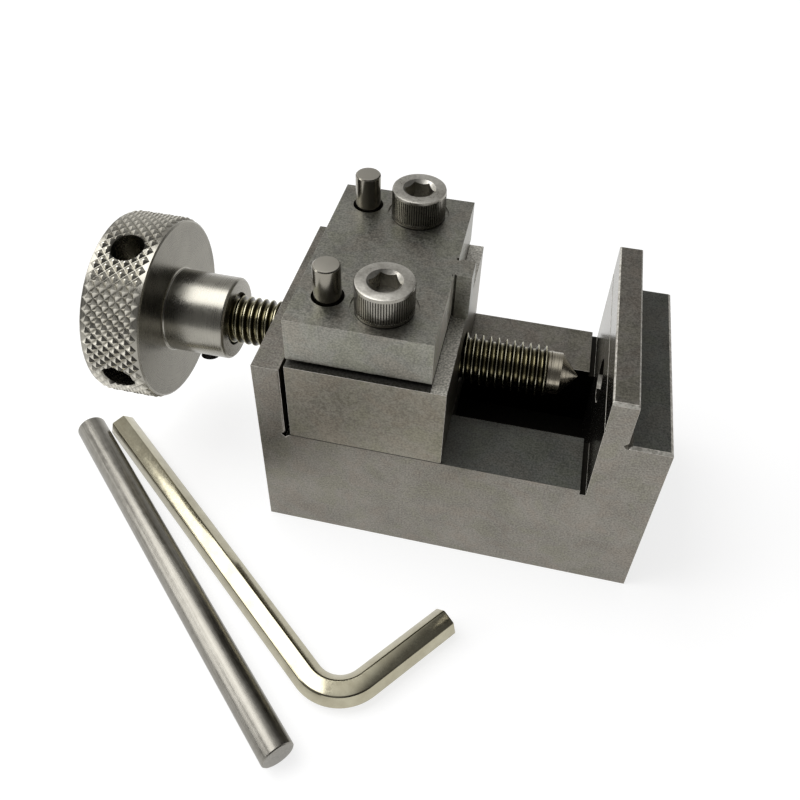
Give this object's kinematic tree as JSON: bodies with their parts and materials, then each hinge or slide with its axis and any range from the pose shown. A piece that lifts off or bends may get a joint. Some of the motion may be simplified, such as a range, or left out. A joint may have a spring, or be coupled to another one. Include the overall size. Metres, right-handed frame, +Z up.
{
  "type": "watch link remover",
  "caption": "Bench screw press for watch bracelet links: a knurled knob turns a lead screw that drives a jaw with a pressing tongue towards a fixed rib.",
  "frame": {"origin": "centre of the base block's underside", "axes": "+X along the lead screw from the knob to the fixed rib, +Y towards the back, +Z up"},
  "size_m": [0.0987, 0.0757, 0.0504],
  "materials": {
    "base": "surface ground tool steel, satin",
    "ring": "spring steel, blackened",
    "jaw": "surface ground tool steel, satin",
    "plate": "surface ground tool steel, satin",
    "cap_screws": "stainless steel, cold headed and knurled",
    "dowels": "hardened steel, centreless ground and bright",
    "lead_screw": "steel with pale yellow zinc plating",
    "collar": "turned steel",
    "collar_pin": "spring steel pin",
    "knob": "turned stainless steel, knurled rim",
    "set_screw": "black oxide",
    "tommy_bar": "drawn steel bar, brushed",
    "hex_key": "nickel plated"
  },
  "bodies": {
    "base": {"base_block": "base", "retaining_ring": "ring"},
    "jaw": {"sliding_jaw": "jaw", "press_plate": "plate", "cap_screw_front": "cap_screws", "cap_screw_rear": "cap_screws", "dowel_pin_front": "dowels", "dowel_pin_rear": "dowels"},
    "screw": {"lead_screw": "lead_screw", "thrust_collar": "collar", "collar_pin": "collar_pin", "knob": "knob", "knob_set_screw": "set_screw"},
    "bar": {"tommy_bar": "tommy_bar"},
    "key": {"hex_key": "hex_key"}
  },
  "joints": [
    {"name": "knob_turn", "type": "hinge", "parent": "base", "child": "screw", "pos_m": [-0.05445, 0, 0.0275], "axis": [-1, 0, 0], "range_deg": [0, 6050]},
    {"name": "jaw_slide", "type": "slide", "parent": "base", "child": "jaw", "axis": [1, 0, 0], "range_m": [0, 0.021]},
    {"name": "bar_slide", "type": "slide", "parent": "base", "child": "bar", "axis": [0.7408, -0.6717, 0], "range_m": [0, 0.06]},
    {"name": "key_slide", "type": "slide", "parent": "base", "child": "key", "axis": [0.7837, -0.6211, 0], "range_m": [0, 0.06]}
  ],
  "couplings": [
    {"joint": "knob_turn", "follows": "jaw_slide", "rad_per_m": 5026.5}
  ]
}
